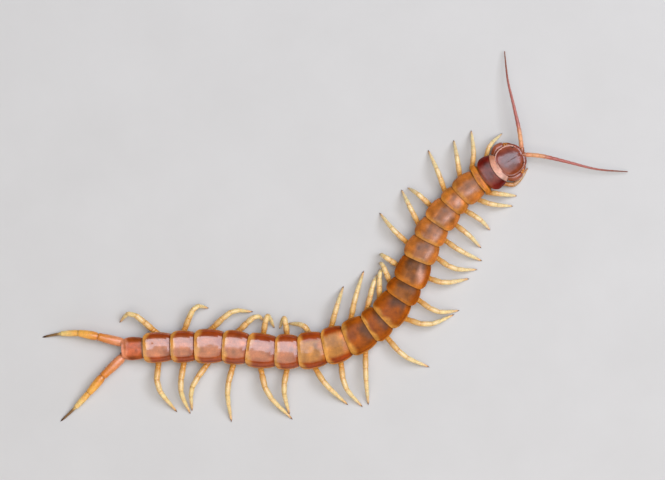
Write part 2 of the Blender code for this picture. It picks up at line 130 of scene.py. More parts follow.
RIGHT_STANCE = (
    ((63.9, 18.45, 1.6), (68.35, 24.2)),
    ((57.6, 15.0), (64.4, 14.3)),
    ((55.4, 11.3), (63.0, 10.7)),
    ((51.2, 6.0), (55.0, 2.3)),
    ((47.2, 0.6), (51.8, -4.0)),
    ((44.2, -4.9), (52.1, -8.6)),
    ((42.0, -11.2), (50.4, -11.7)),
    ((38.8, -16.2), (47.6, -14.9)),
    ((36.0, -26.3), (44.1, -26.1)),
    ((33.0, -30.9), (42.3, -27.5)),
    ((24.5, -41.8), (33.6, -46.0)),
    ((11.2, -49.6), (12.1, -59.3)),
    ((3.9, -52.6), (10.0, -60.0)),
    ((-3.0, -51.8), (4.9, -59.3)),
    ((-17.6, -53.8), (-15.7, -62.6)),
    ((-23.2, -55.2), (-14.6, -64.4)),
    ((-37.4, -54.0), (-36.1, -65.3)),
    ((-49.8, -53.0), (-50.0, -61.4)),
    ((-53.8, -53.8), (-50.6, -62.4)),
    ((-61.8, -52.8), (-55.3, -61.8)),
)

# Last legs, feelers and poison claws: knots in space
LEFT_TRAIL = (
    (-74.1, -37.3, 3.5),
    (-81.2, -35.5, 4.3),
    (-89.6, -33.9, 3.8),
    (-96.3, -34.2, 1.9),
    (-102.8, -35.5, 0.1),
)
RIGHT_TRAIL = (
    (-74.1, -42.2, 3.5),
    (-80.2, -48.0, 4.3),
    (-85.8, -54.6, 3.8),
    (-91.4, -60.6, 1.8),
    (-96.4, -65.2, 0.1),
)
LEFT_FEELER = (
    (65.8, 31.3, 5.3),
    (64.9, 37.4, 5.9),
    (62.9, 46.4, 5.4),
    (61.0, 55.0, 3.8),
    (60.0, 65.2, 1.5),
)
RIGHT_FEELER = (
    (67.2, 28.7, 5.3),
    (73.0, 28.2, 5.9),
    (82.0, 26.1, 5.6),
    (92.5, 23.6, 4.0),
    (103.3, 22.8, 1.6),
)
CLAW_KNOTS = (
    (-4.2, 4.7, 2.7),
    (-2.0, 5.95, 2.6),
    (1.0, 5.35, 2.45),
    (3.2, 3.4, 2.35),
    (4.4, 0.75, 2.3),
)

# Articles of a walking leg: share of the leg at which each ends, and its neck, body and end radius
LEG_ARTICLES = (
    (0.085, 0.90, 0.98, 0.94),
    (0.135, 0.88, 0.92, 0.90),
    (0.330, 0.90, 1.02, 0.95),
    (0.525, 0.88, 0.94, 0.87),
    (0.690, 0.79, 0.80, 0.73),
    (0.850, 0.64, 0.63, 0.53),
    (0.955, 0.45, 0.42, 0.30),
)
TRAIL_ARTICLES = (
    (0.305, 1.26, 1.66, 1.40),
    (0.540, 1.24, 1.54, 1.24),
    (0.760, 1.04, 1.13, 0.90),
    (0.885, 0.64, 0.52, 0.46),
    (0.975, 0.42, 0.40, 0.30),
)

# Profile of one article: share of its length, and how much of neck, body and end make its radius
ARTICLE_PROFILE = (
    (0.030, 1.0, 0.0, 0.0),
    (0.075, 0.62, 0.38, 0.0),
    (0.14, 0.25, 0.75, 0.0),
    (0.24, 0.0, 1.0, 0.0),
    (0.40, 0.0, 1.0, 0.0),
    (0.56, 0.0, 0.88, 0.12),
    (0.72, 0.0, 0.55, 0.45),
    (0.84, 0.0, 0.12, 0.88),
    (0.91, 0.0, 0.0, 1.02),
    (0.955, 0.0, 0.0, 1.0),
    (0.978, 0.2, 0.0, 0.74),
)


LIGHT_LEVEL = 1.09  # how bright the light makes a level face against its own colour


def from_screen(red, green, blue):
    """A linear colour from the usual 0 to 255 values seen under the light."""
    shares = np.array((red, green, blue)) / 255.0
    linear = np.where(shares <= 0.04045, shares / 12.92, ((shares + 0.055) / 1.055) ** 2.4)
    return linear / LIGHT_LEVEL


MAROON = from_screen(140, 60, 40)
DARK_RED = from_screen(112, 18, 4)
PLUM = from_screen(108, 52, 44)
CRESCENT = from_screen(206, 134, 98)
# Pale pink used only for painted sheen and painted highlights
PAINTED_SHEEN = from_screen(226, 168, 142)
AMBER = from_screen(206, 122, 38)
HONEY = from_screen(224, 154, 66)
RUSSET = from_screen(162, 92, 26)
OCHRE = from_screen(202, 116, 44)
UMBER = from_screen(104, 60, 24)
SAND = from_screen(190, 122, 44)
BURNT = from_screen(166, 80, 2)
EMBER = from_screen(158, 60, 0)
ROSE = from_screen(188, 108, 62)
BRICK = from_screen(156, 70, 16)
SCARLET = from_screen(204, 100, 54)
SALMON = from_screen(226, 140, 98)
APRICOT = from_screen(238, 168, 114)
THIGH = from_screen(230, 146, 96)
CREAM = from_screen(248, 226, 172)
STRAW = from_screen(244, 204, 126)
GOLD = from_screen(236, 170, 72)
TAN = from_screen(190, 130, 84)
FLESH = from_screen(208, 140, 86)
PATCH = from_screen(240, 208, 168)
FEELER_RED = from_screen(184, 96, 80)
CLAW_BROWN = from_screen(58, 26, 14)
BLACK = from_screen(14, 9, 8)

# Middle, side, rear rim and front colour of each kind of back plate
TONES = {
    "maroon": (0.5 * (PLUM + MAROON), DARK_RED, BRICK, MAROON),
    "ochre": (RUSSET, OCHRE, HONEY, RUSSET),
    "amber": (OCHRE, AMBER, HONEY, AMBER),
    "russet": (RUSSET, BURNT, AMBER, UMBER),
    "orange": (BURNT, BURNT, HONEY, UMBER),
    "sand": (SAND, EMBER, HONEY, OCHRE),
    "rose": (ROSE, EMBER, HONEY, BRICK),
    "scarlet": (SCARLET, BRICK, SALMON, BRICK),
}
PLATE_TONES = (
    "maroon",
    "amber",
    "ochre",
    "amber",
    *["ochre"] * 3,
    *["russet"] * 2,
    *["orange"] * 3,
    *["sand"] * 2,
    *["rose"] * 6,
    "scarlet",
)


def smooth(low, high, value):
    """0 below low, 1 above high and smooth between, also where low is above high."""
    share = np.clip((value - low) / (high - low), 0.0, 1.0)
    return share * share * (3.0 - 2.0 * share)


def hump(middle, reach, value):
    """1 at the middle, falling away smoothly on both sides."""
    return np.exp(-(((value - middle) / reach) ** 2))


def blend(first, second, share):
    """Colours or points from first to second by an array of shares."""
    share = np.asarray(share, float)[..., None]
    return first * (1.0 - share) + second * share


def unit(vectors):
    return vectors / np.linalg.norm(vectors, axis=-1, keepdims=True)


class Line:
    """A smooth line through its knots, measured by its own length."""

    STEPS = 48  # points for each stretch between knots
    REACH = 1 / 60  # share of the length over which the heading is read

    def __init__(self, knots):
        knots = np.array([(*knot, 0.0)[:3] for knot in knots], float)
        ends = np.vstack((2 * knots[0] - knots[1], knots, 2 * knots[-1] - knots[-2]))
        shares = (np.arange(self.STEPS) / self.STEPS)[:, None]
        stretches = [curve_points(*ends[i : i + 4], shares) for i in range(len(knots) - 1)]
        self.points = np.vstack((*stretches, knots[-1:]))
        steps = np.linalg.norm(np.diff(self.points, axis=0), axis=1)
        self.marks = np.concatenate(((0.0,), np.cumsum(steps)))
        self.length = self.marks[-1]

    def at(self, distance):
        """Points at these distances, carried straight on past either end."""
        distance = np.asarray(distance, float)
        index = np.searchsorted(self.marks, distance, side="right") - 1
        index = np.clip(index, 0, len(self.points) - 2)
        step = self.marks[index + 1] - self.marks[index]
        return blend(self.points[index], self.points[index + 1], (distance - self.marks[index]) / step)

    def heading(self, distance):
        reach = self.length * self.REACH
        return unit(self.at(distance + reach) - self.at(distance - reach))


def curve_points(before, start, end, after, share):
    """Catmull-Rom points between start and end."""
    square = share * share
    cube = square * share
    return (
        (2 * cube - 3 * square + 1) * start
        + (cube - 2 * square + share) * (end - before) / 2
        + (3 * square - 2 * cube) * end
        + (cube - square) * (after - start) / 2
    )


SPINE = Line(MIDLINE)


def on_body(distance, across, up):
    """Points at a distance behind the head's front, an offset to the left and a height."""
    distance, across, up = np.broadcast_arrays(distance, across, up)
    forward = -SPINE.heading(distance)
    left = np.stack((-forward[..., 1], forward[..., 0], np.zeros_like(distance)), axis=-1)
    points = SPINE.at(distance) + left * across[..., None]
    points[..., 2] = up
    return points


def plate_start(number):
    return HEAD_LENGTH + sum(length for length, _ in PLATES[: number - 1])


def shrink(number):
    """Heights of a plate as a share, lower over the last few."""
    behind = np.maximum(0.0, number - SHRINK_FROM) / (LAST - SHRINK_FROM)
    return 1.0 - TAIL_SHRINK * behind**2


def on_head(forward, across, up):
    """Points in the head's own frame, whose middle is half way along it."""
    return on_body(HEAD_LENGTH / 2 - np.asarray(forward), across, up)


class Form:
    """Points, faces and colours gathered into one mesh."""

    def __init__(self):
        self.points = []
        self.tints = []
        self.faces = []
        self.count = 0

    def add(self, points, faces, tints):
        points = np.asarray(points, float).reshape(-1, 3)
        tints = np.broadcast_to(tints, (*np.shape(tints)[:-1], 3)).reshape(-1, 3)
        if len(tints) == 1:
            tints = np.repeat(tints, len(points), axis=0)
        self.points.append(points)
        self.tints.append(tints)
        self.faces += [[index + self.count for index in face] for face in faces]
        self.count += len(points)

    def piece(self, name, material, nodes, sharp=50.0):
        """The finished object, riding on the body in place of these nodes."""
        mesh = bpy.data.meshes.new(name)
        points = (np.vstack(self.points) - CENTRE) * MM
        mesh.from_pydata(points.tolist(), [], self.faces)
        tints = np.hstack((np.vstack(self.tints), np.ones((self.count, 1))))
        layer = mesh.attributes.new("tint", "FLOAT_COLOR", "POINT")
        layer.data.foreach_set("color", tints.astype(np.float32).ravel())
        form = bmesh.new()
        form.from_mesh(mesh)
        bmesh.ops.recalc_face_normals(form, faces=form.faces)
        form.to_mesh(mesh)
        form.free()
        mesh.shade_smooth()
        mesh.set_sharp_from_angle(angle=math.radians(sharp))
        mesh.materials.append(material)
        made = bpy.data.objects.new(name, mesh)
        bpy.context.scene.collection.objects.link(made)
        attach(made, "root")
        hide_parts(*nodes)
        return made


def grid_faces(rows, columns, wrap=False):
    """Quads of a grid of points, closed round its columns if it wraps."""
    index = np.arange(rows * columns).reshape(rows, columns)
    if wrap:
        index = np.hstack((index, index[:, :1]))
    corners = (index[:-1, :-1], index[:-1, 1:], index[1:, 1:], index[1:, :-1])
    return np.stack(corners, axis=-1).reshape(-1, 4).tolist()


def grid_normals(points):
    """Unit normals of a grid of points, turned upwards."""
    normals = np.cross(np.gradient(points, axis=0), np.gradient(points, axis=1))
    normals = unit(normals + 1e-12)
    return normals if normals[..., 2].mean() > 0 else -normals


def add_shell(form, upper, thickness, tints):
    """A closed thin shell whose upper face is a grid of points; its lower face is painted darker, as shade."""
    rows, columns = upper.shape[:2]
    lower = upper - grid_normals(upper) * np.asarray(thickness)[..., None]
    index = np.arange(rows * columns).reshape(rows, columns)
    rim = [*index[0], *index[1:, -1], *index[-1, -2::-1], *index[-2:0:-1, 0]]
    faces = grid_faces(rows, columns)
    faces += [[corner + rows * columns for corner in face[::-1]] for face in faces]
    for here, there in zip(rim, (*rim[1:], rim[0])):
        faces.append([there, here, here + rows * columns, there + rows * columns])
    # The lower face takes the upper colour darkened to 0.8: painted shade
    form.add(np.stack((upper, lower)), faces, np.stack((tints, tints * 0.8)))


def add_tube(form, rings, tints):
    """A closed tube through rings of points, with a flat face at each end."""
    rows, columns = rings.shape[:2]
    faces = grid_faces(rows, columns, wrap=True)
    faces.append(list(range(columns)))
    faces.append(list(range((rows - 1) * columns, rows * columns)))
    form.add(rings, faces, tints)


def turned_rings(centres, ways, radii, sides, flat=1.0, up=(0.0, 0.0, 1.0)):
    """Rings round a line of centres, carried along it without twist."""
    turns = np.arange(sides) * math.tau / sides
    normal = np.array(up, float)
    rings = []
    for centre, way, radius in zip(centres, ways, radii):
        normal = normal - way * (normal @ way)
        normal = normal / np.linalg.norm(normal)
        side = np.cross(way, normal)
        out = np.outer(np.cos(turns) * flat, normal) + np.outer(np.sin(turns), side)
        rings.append(centre + out * radius)
    return np.array(rings)


# Colours and finish of the materials

def shell_material(name, finish):
    """A chitin shell: its colour from the mesh, mottled, with fine relief and gloss."""
    made = bpy.data.materials.new(name)
    made.use_nodes = True
    nodes = made.node_tree.nodes
    link = made.node_tree.links.new
    shader = nodes["Principled BSDF"]
    place = nodes.new("ShaderNodeTexCoord").outputs["Object"]
    tint = nodes.new("ShaderNodeAttribute")
    tint.attribute_name = "tint"

    mottle = noise_node(nodes, link, place, finish["mottle_scale"], 5.0)
    speck = noise_node(nodes, link, place, finish["speck_scale"], 3.0)
    shade = range_node(nodes, link, mottle, 0.30, 0.70, *finish["mottle"])
    light = range_node(nodes, link, speck, 0.35, 0.70, *finish["speck"])
    first = mix_node(nodes, link, tint.outputs["Color"], shade)
    second = mix_node(nodes, link, first, light)
    link(second, shader.inputs["Base Color"])

    gloss = range_node(nodes, link, mottle, 0.25, 0.75, *finish["roughness"])
    link(gloss, shader.inputs["Roughness"])

    bump = nodes.new("ShaderNodeBump")
    bump.inputs["Strength"].default_value = finish["bump"]
    bump.inputs["Distance"].default_value = 0.00006
    link(noise_node(nodes, link, place, finish["bump_scale"], 4.0), bump.inputs["Height"])
    link(bump.outputs["Normal"], shader.inputs["Normal"])

    shader.inputs["Specular IOR Level"].default_value = finish["specular"]
    shader.inputs["Coat Weight"].default_value = finish["coat"]
    shader.inputs["Coat Roughness"].default_value = finish["coat_roughness"]
    shader.inputs["Coat IOR"].default_value = finish["coat_ior"]
    shader.inputs["Subsurface Weight"].default_value = finish["soft"]
    shader.inputs["Subsurface Radius"].default_value = (1.0, 0.45, 0.2)
    shader.inputs["Subsurface Scale"].default_value = 0.0007
    return made


def noise_node(nodes, link, place, scale, detail):
    made = nodes.new("ShaderNodeTexNoise")
    made.inputs["Scale"].default_value = scale
    made.inputs["Detail"].default_value = detail
    made.inputs["Roughness"].default_value = 0.6
    link(place, made.inputs["Vector"])
    return made.outputs["Fac"]


def range_node(nodes, link, value, low, high, first, second):
    made = nodes.new("ShaderNodeMapRange")
    made.inputs["From Min"].default_value = low
    made.inputs["From Max"].default_value = high
    made.inputs["To Min"].default_value = first
    made.inputs["To Max"].default_value = second
    link(value, made.inputs["Value"])
    return made.outputs["Result"]


def mix_node(nodes, link, colour, factor):
    """The colour times the factor."""
    made = nodes.new("ShaderNodeVectorMath")
    made.operation = "SCALE"
    link(colour, made.inputs[0])
    link(factor, made.inputs["Scale"])
    return made.outputs["Vector"]


PLATE_FINISH = {
    "mottle_scale": 420.0,
    "mottle": (0.72, 1.18),
    "speck_scale": 2600.0,
    "speck": (0.86, 1.08),
    "roughness": (0.30, 0.45),
    "bump": 0.25,
    "bump_scale": 2400.0,
    "specular": 0.12,
    "coat": 1.0,
    "coat_ior": 1.6,
    "coat_roughness": 0.09,
    "soft": 0.0,
}


def build_materials():
    plate = PLATE_FINISH
    shield = {**plate, "specular": 0.25, "coat": 0.75, "coat_ior": 1.5, "coat_roughness": 0.16}
    satin = {**plate, "coat": 0.7, "coat_ior": 1.5, "coat_roughness": 0.12}
    front = {
        **shield,
        "mottle_scale": 330.0,
        "mottle": (0.60, 1.26),
        "roughness": (0.36, 0.50),
        "specular": 0.12,
        "coat": 0.32,
        "coat_roughness": 0.20,
    }
    dull = {**front, "roughness": (0.44, 0.60), "specular": 0.10, "coat": 0.10}
    leg = {
        **plate,
        "mottle_scale": 900.0,
        "mottle": (0.86, 1.10),
        "roughness": (0.28, 0.42),
        "specular": 0.5,
        "coat": 0.25,
        "coat_ior": 1.5,
        "coat_roughness": 0.2,
        "soft": 0.25,
    }
    soft = {
        **leg,
        "roughness": (0.45, 0.6),
        "bump": 0.6,
        "bump_scale": 1500.0,
        "coat": 0.0,
        "soft": 0.3,
    }
    feeler = {**leg, "speck": (0.8, 1.1), "bump": 0.5, "bump_scale": 5200.0, "soft": 0.1}
    lens = {
        **plate,
        "mottle": (0.9, 1.1),
        "roughness": (0.05, 0.09),
        "bump": 0.02,
        "coat_ior": 1.5,
        "coat_roughness": 0.03,
    }
    claw = {**shield, "roughness": (0.18, 0.28), "bump": 0.15}
    finishes = {
        "plate": plate,
        "satin": satin,
        "shield": shield,
        "front": front,
        "dull": dull,
        "leg": leg,
        "skin": soft,
        "feeler": feeler,
        "lens": lens,
        "claw": claw,
    }
    return {name: shell_material(f"{name}_chitin", finish) for name, finish in finishes.items()}


# Back plates

ACROSS = np.unique(
    np.concatenate(
        (
            np.sin(np.linspace(-1, 1, 61) * math.pi / 2),
            [side * spot for side in (-1, 1) for spot in (0.25, 0.265, 0.28, 0.295, 0.31)],
            [side * spot for side in (-1, 1) for spot in (0.86, 0.88, 0.9, 0.92, 0.94, 0.96)],
        )
    ).round(4)
)
ALONG = (1 - np.cos(np.linspace(0, 1, 45) * math.pi)) / 2
SUTURE_ROW = 0.35  # share of the collar's rows that lie ahead of its suture
COLLAR_ALONG = np.unique(
    np.concatenate((np.linspace(0, 1, 61), SUTURE_ROW + np.linspace(-0.05, 0.05, 17))).round(5)
)
COLLAR_TUCK = 0.9
TUCK = 1.0  # how far a plate reaches forward under the one before it
SECOND_REACH = 2.2  # how much further the second plate's sides reach, round the collar
OVERHANG = 0.38
LAST_OVERHANG = 1.1
CORNER = 1.9  # radius of a plate's corners in plan
CORNER_FROM = 0.72  # share of the half width at which the corners begin
SUTURE_AT = 0.28
PLATE_THICKNESS = 0.2
PLATE_FINISHES = (
    "front",
    "dull",
    *["front"] * 5,
    *["dull"] * 5,
    "front",
    "satin",
    *["plate"] * 6,
    "front",
)


def back_arch(across):
    """Height of a back plate as a share, from 1 at the middle."""
    across = np.abs(across)
    return 1.0 - 0.18 * across**2.4 - 0.155 * across**8


def plate_breadth(share):
    """Half width of a plate along its length, as a share."""
    front = 0.15 * np.maximum(0.0, 1 - share / 0.62) ** 2
    rear = 0.075 * np.maximum(0.0, (share - 0.55) / 0.45) ** 2
    return 1.0 - front - rear


def corner_drop(across, radius):
    """How far a rounded corner pulls the edge in, along the body."""
    turn = np.clip((np.abs(across) - CORNER_FROM) / (1 - CORNER_FROM), 0.0, 0.995)
    return radius * (1 - np.sqrt(1 - turn**2))


def rim_strength(number):
    """Raised side rims are faint on the front plates and full from the middle on."""
    return float(smooth(4, 12, number))


def plate_relief(number, across, share, rng):
    """Fine relief of a back plate: sutures, side rims and shallow wrinkles."""
    size = np.abs(across)
    rims = rim_strength(number)
    relief = 0.12 * rims * hump(0.955, 0.028, size) - 0.10 * rims * hump(0.895, 0.022, size)
    if 2 < number < LAST:
        relief -= 0.03 * (1.0 - 0.7 * rims) * hump(SUTURE_AT, 0.014, size)
    relief += (0.2 + 0.3 * rims) * (0.05 * hump(0.93, 0.06, share) - 0.04 * hump(0.82, 0.07, share))
    for _ in range(9):
        middle = rng.uniform(-0.75, 0.75)
        along = rng.uniform(0.15, 0.85)
        wide = rng.uniform(0.08, 0.26)
        long = rng.uniform(0.06, 0.20)
        depth = rng.uniform(-0.045, 0.035)
        relief += depth * hump(middle, wide, across) * hump(along, long, share)
    return relief


def plate_tint(number, across, share, rng):
    """Colours of a back plate, with painted sheen, painted shade and a painted shadow."""
    middle, side, rear, front = TONES[PLATE_TONES[number - 1]]
    size = np.abs(across)
    rims = rim_strength(number)
    wobble = 0.05 * np.sin(across * rng.uniform(5, 9) + rng.uniform(0, 6))
    # Plates 3 to 8 get painted light: a painted sheen and a band of painted shade
    painted_light_plate = float(2 < number < 9)
    tint = blend(middle, side, smooth(0.42 - 0.2 * painted_light_plate, 0.72 + 0.2 * painted_light_plate, size + wobble))
    shade = 0.62 if 4 < number < 13 else 0.30
    tint = blend(tint, front, 0.95 * smooth(shade, 0.1, share + 2 * wobble) * smooth(0.85, 0.45, size))
    # Painted shade: a dark brown band just left of the middle, beside the painted sheen
    tint = blend(tint, UMBER, 0.6 * painted_light_plate * hump(0.16, 0.17, across + wobble) * hump(0.45, 0.35, share))
    for _ in range(9):
        place = hump(rng.uniform(-0.7, 0.7), rng.uniform(0.08, 0.24), across)
        place = place * hump(rng.uniform(0.1, 0.9), rng.uniform(0.06, 0.20), share)
        tint = blend(tint, tint * rng.uniform(0.60, 1.42), place)
    # Painted sheen: a pale pink highlight right of the middle of plates 3 to 8
    painted_sheen_mask = hump(-0.05 - 0.05 * number, 0.18, across + wobble) * hump(0.5, 0.26, share - 2 * wobble)
    tint = blend(tint, PAINTED_SHEEN, 0.85 * painted_sheen_mask * painted_light_plate)
    pale = smooth(0.80, 0.99, share + 0.08 * size**2 + wobble)
    tint = blend(tint, rear, (0.45 + 0.4 * rims) * pale)
    margin = 0.5 - 0.2 * (across > 0)
    tint = blend(tint, rear, margin * rims * smooth(0.925, 0.95, size))
    # Painted shade in the groove inside the rim, on the right side only
    tint = blend(tint, BRICK * 0.45, 0.75 * rims * hump(0.895, 0.018, size) * (across < 0))
    tint = blend(tint, tint * 0.75, 0.8 * hump(SUTURE_AT, 0.014, size) * float(2 < number < LAST) * (1 - 0.6 * rims))
    # Painted shadow: the plate before casts shade across this plate's front, darkened here
    seam = share * PLATES[number - 1][0] + 0.3 * across**2 - OVERHANG
    return blend(tint, tint * 0.35, 0.85 * smooth(0.30, 0.05, seam) * float(number > 1))


def collar_suture(across):
    """Distance behind the collar's front of the curved groove across it."""
    return 2.75 - 1.95 * across**2


def build_back_plate(number, materials):
    length, width = PLATES[number - 1]
    rng = random.Random(number)
    first = number == 1
    last = number == LAST
    across, along = np.meshgrid(ACROSS, COLLAR_ALONG if first else ALONG)
    front = -(COLLAR_TUCK if first else TUCK) + corner_drop(across, CORNER * (1.5 if first else 0.95))
    rear = length + (LAST_OVERHANG if last else OVERHANG)
    rear = rear - corner_drop(across, CORNER * (1.5 if last else 1.0))
    rear -= {1: 1.2, 2: 0.9}.get(number, 0.3) * across**2
    if number == 2:
        front = front - SECOND_REACH * across**2
    if first:
        suture = np.maximum(collar_suture(across), front + 0.05)
        offset = np.where(
            along < SUTURE_ROW,
            front + (suture - front) * along / SUTURE_ROW,
            suture + (rear - suture) * (along - SUTURE_ROW) / (1 - SUTURE_ROW),
        )
        behind = offset - suture
        groove = hump(0.0, 0.13, behind) * 0.10
        dip = groove + 0.42 * smooth(0.10, -0.10, behind) + 0.85 * smooth(0.0, -3.4, behind)
    else:
        offset = front + (rear - front) * along
        dip = 0.66 * np.maximum(0.0, 1 - offset / 2.8) ** 1.8
    share = offset / length
    half = width / 2 * plate_breadth(share)
    droop = 0.15 * smooth(0.87, 1.04, share) ** 2 * (2.0 if last else 1.0)
    tall = (BACK - BELLY) * shrink(number)
    arch = back_arch(across)
    up = BELLY + tall * arch - (dip + droop) * arch
    up += plate_relief(number, across, share, rng)
    upper = on_body(plate_start(number) + offset, across * half, up)
    thin = PLATE_THICKNESS * (1 - 0.6 * smooth(0.85, 1.0, np.abs(across)))
    tints = plate_tint(number, across, share, rng)
    if first:
        # Painted sheen: the crescent grows paler towards its right end
        crescent = blend(CRESCENT, PAINTED_SHEEN, smooth(0.5, -0.6, across))
        tints = blend(tints, crescent, smooth(0.03, -0.03, behind))
        tints = blend(tints, MAROON * 0.25, 0.95 * hump(0.0, 0.16, behind))
    form = Form()
    add_shell(form, upper, thin, tints)
    finish = materials[PLATE_FINISHES[number - 1]]
    return form.piece(f"back_plate_{number:02d}", finish, trunk_nodes(number))


def trunk_nodes(number):
    if number == 1:
        return ["trunk_01"]
    even = number - number % 2
    return [f"trunk_{even:02d}_{even + 1:02d}"]


# Skin of the flanks and belly, and the belly plates

# Half section of the skin: share of the half width and share of the height from belly to back
SKIN_SECTION = (
    (0.0, 0.90),
    (0.40, 0.88),
    (0.66, 0.81),
    (0.82, 0.71),
    (0.87, 0.62),
    (0.85, 0.55),
    (0.80, 0.49),
    (0.76, 0.42),
    (0.74, 0.33),
    (0.72, 0.24),
    (0.67, 0.13),
    (0.58, 0.05),
    (0.45, 0.025),
    (0.25, 0.02),
    (0.0, 0.02),
)
SKIN_STEP = 0.28
BODY_END = HEAD_LENGTH + sum(length for length, _ in PLATES)


def along_plates(distance):
    """Plate number, share along it, and smooth width and height at distances down the body."""
    starts = np.array([plate_start(number) for number in range(1, LAST + 2)])
    index = np.clip(np.searchsorted(starts, distance, side="right") - 1, 0, LAST - 1)
    lengths = np.diff(starts)
    share = (distance - starts[index]) / lengths[index]
    middles = (starts[:-1] + starts[1:]) / 2
    widths = np.interp(distance, middles, [width for _, width in PLATES])
    heights = np.interp(distance, middles, [shrink(number) for number in range(1, LAST + 1)])
    return index + 1, share, widths, heights


def build_skin(materials):
    section = np.array(SKIN_SECTION)
    marks = np.linspace(0, 1, len(section))
    fine = np.linspace(0, 1, 41)
    out = np.interp(fine, marks, section[:, 0])
    high = np.interp(fine, marks, section[:, 1])
    out = np.concatenate((out, -out[-2:0:-1]))
    high = np.concatenate((high, high[-2:0:-1]))
    distance = np.arange(HEAD_LENGTH - 0.6, BODY_END - 0.6, SKIN_STEP)
    number, share, width, height = (value[:, None] for value in along_plates(distance))
    lengths = np.array([length for length, _ in PLATES])[number - 1]
    side = np.sign(out)
    size = np.abs(out)
    flank = smooth(0.62, 0.5, high) * smooth(0.02, 0.14, high)
    joint = hump(0.0, 1.5 / lengths, share) + hump(1.0, 1.5 / lengths, share)
    shoulder = smooth(0.45, 0.55, high) * smooth(0.3, 0.7, size)
    waist = 1 - (0.07 * flank + 0.15 * shoulder) * np.minimum(joint, 1.0)
    hip = hump(HIP_SPOT, 0.85 / lengths, share) * hump(0.25, 0.17, high) * smooth(0.3, 0.6, size)
    folds = 0.15 * np.sin(high * 48.0 + 3 * np.sin(share * 5)) * flank
    folds = folds + 0.12 * np.sin(share * lengths * 5.0 + high * 12.0) * flank
    plate = hump(0.62, 1.3 / lengths, share) * hump(0.42, 0.07, high) * smooth(0.5, 0.7, size)
    across = side * (size * width / 2 * waist + 0.75 * hip + folds * (1 - plate) + 0.18 * smooth(0.35, 0.5, plate))
    neck = 1 - 0.17 * smooth(3.2, -0.6, distance - HEAD_LENGTH)[:, None]
    up = BELLY + (BACK - BELLY) * height * high * neck
    points = on_body(distance[:, None], across, up)
    tint = blend(FLESH, GOLD, smooth(0.15, 0.9, hip * 1.4))
    # Painted shade in the troughs of the flank folds
    tint = blend(tint, UMBER, 0.35 * flank * smooth(0.0, -0.12, folds))
    tint = blend(tint, PATCH, 0.75 * flank * hump(0.5, 2.6 / lengths, share) * hump(0.36, 0.12, high))
    tint = blend(tint, GOLD, 0.7 * smooth(0.35, 0.5, plate))
    tint = blend(tint, BRICK, 0.6 * hump(0.40, 0.09, plate))
    # Painted shade high on the flank under the plates' edges, deeper between the plates
    tint = blend(tint, UMBER, 0.75 * smooth(0.46, 0.62, high) * (0.35 + 0.65 * np.minimum(joint, 1.0)))
    tint = blend(tint, TAN, 0.6 * smooth(0.05, 0.0, high))
    form = Form()
    add_tube(form, points, tint)
    nodes = [name for number in range(1, LAST + 1) for name in trunk_nodes(number)]
    form.piece("body_skin", materials["skin"], nodes)


def build_belly_plates(materials):
    form = Form()
    for number in range(1, LAST + 1):
        length, width = PLATES[number - 1]
        across, along = np.meshgrid(np.sin(np.linspace(-1, 1, 25) * math.pi / 2), np.linspace(0, 1, 13))
        pull = 0.35 * length * np.maximum(0.0, np.abs(across) - 0.7) ** 1.5
        narrow = 0.5 if number < LAST else 0.38
        offset = 0.25 + pull + (length - 0.4 - 2 * pull) * along
        half = width / 2 * narrow * (1 - 0.10 * along)
        up = BELLY + 0.24 * across**4 + 0.05 * hump(0.4, 0.04, np.abs(across))
        points = on_body(plate_start(number) + offset, across * half, up)
        tints = blend(TAN, AMBER, smooth(0.3, 0.95, np.abs(across)))
        add_shell(form, points, np.full(across.shape, -0.25), tints)
    nodes = [name for number in range(1, LAST + 1) for name in trunk_nodes(number)]
    form.piece("belly_plates", materials["front"], nodes)


def build_spiracles(materials):
    """Breathing holes on the flanks: a pale ring round a slit painted dark, as the shade inside the hole."""
    form = Form()
    for number in SPIRACLES:
        length, width = PLATES[number - 1]
        for side in (-1, 1):
            middle = plate_start(number) + 0.78 * length
            turns = np.arange(16) * math.tau / 16
            rings = []
            for radius, proud in ((0.62, -0.25), (0.55, 0.05), (0.42, 0.10), (0.30, 0.0), (0.12, -0.12)):
                distance = middle + radius * np.cos(turns)
                rise = 0.62 * radius * np.sin(turns)
                up = BELLY + 0.43 * (BACK - BELLY) * shrink(number) + rise
                rings.append(on_body(distance, side * (0.78 * width / 2 + proud + 0.36 * rise), up))
            # The closed middle is painted near black: painted shade standing in for the open hole
            tints = np.array([HONEY, HONEY, AMBER, UMBER * 0.4, BLACK])[:, None, :]
            add_tube(form, np.array(rings), np.broadcast_to(tints, (5, 16, 3)))
    nodes = sorted({name for number in SPIRACLES for name in trunk_nodes(number)})
    form.piece("breathing_holes", materials["skin"], nodes)


# Limbs

def leg_line(number, side):
    knee, foot = (LEFT_STANCE if side > 0 else RIGHT_STANCE)[number - 1]
    length, width = PLATES[number - 1]
    spot = plate_start(number) + (FIRST_HIP_SPOT if number == 1 else HIP_SPOT) * length
    hip = on_body(spot, side * HIP_OUT * width / 2, HIP_HEIGHT * shrink(number))
    return Line((hip, (*knee, KNEE_HEIGHT)[:3], (*foot, FOOT_HEIGHT)))


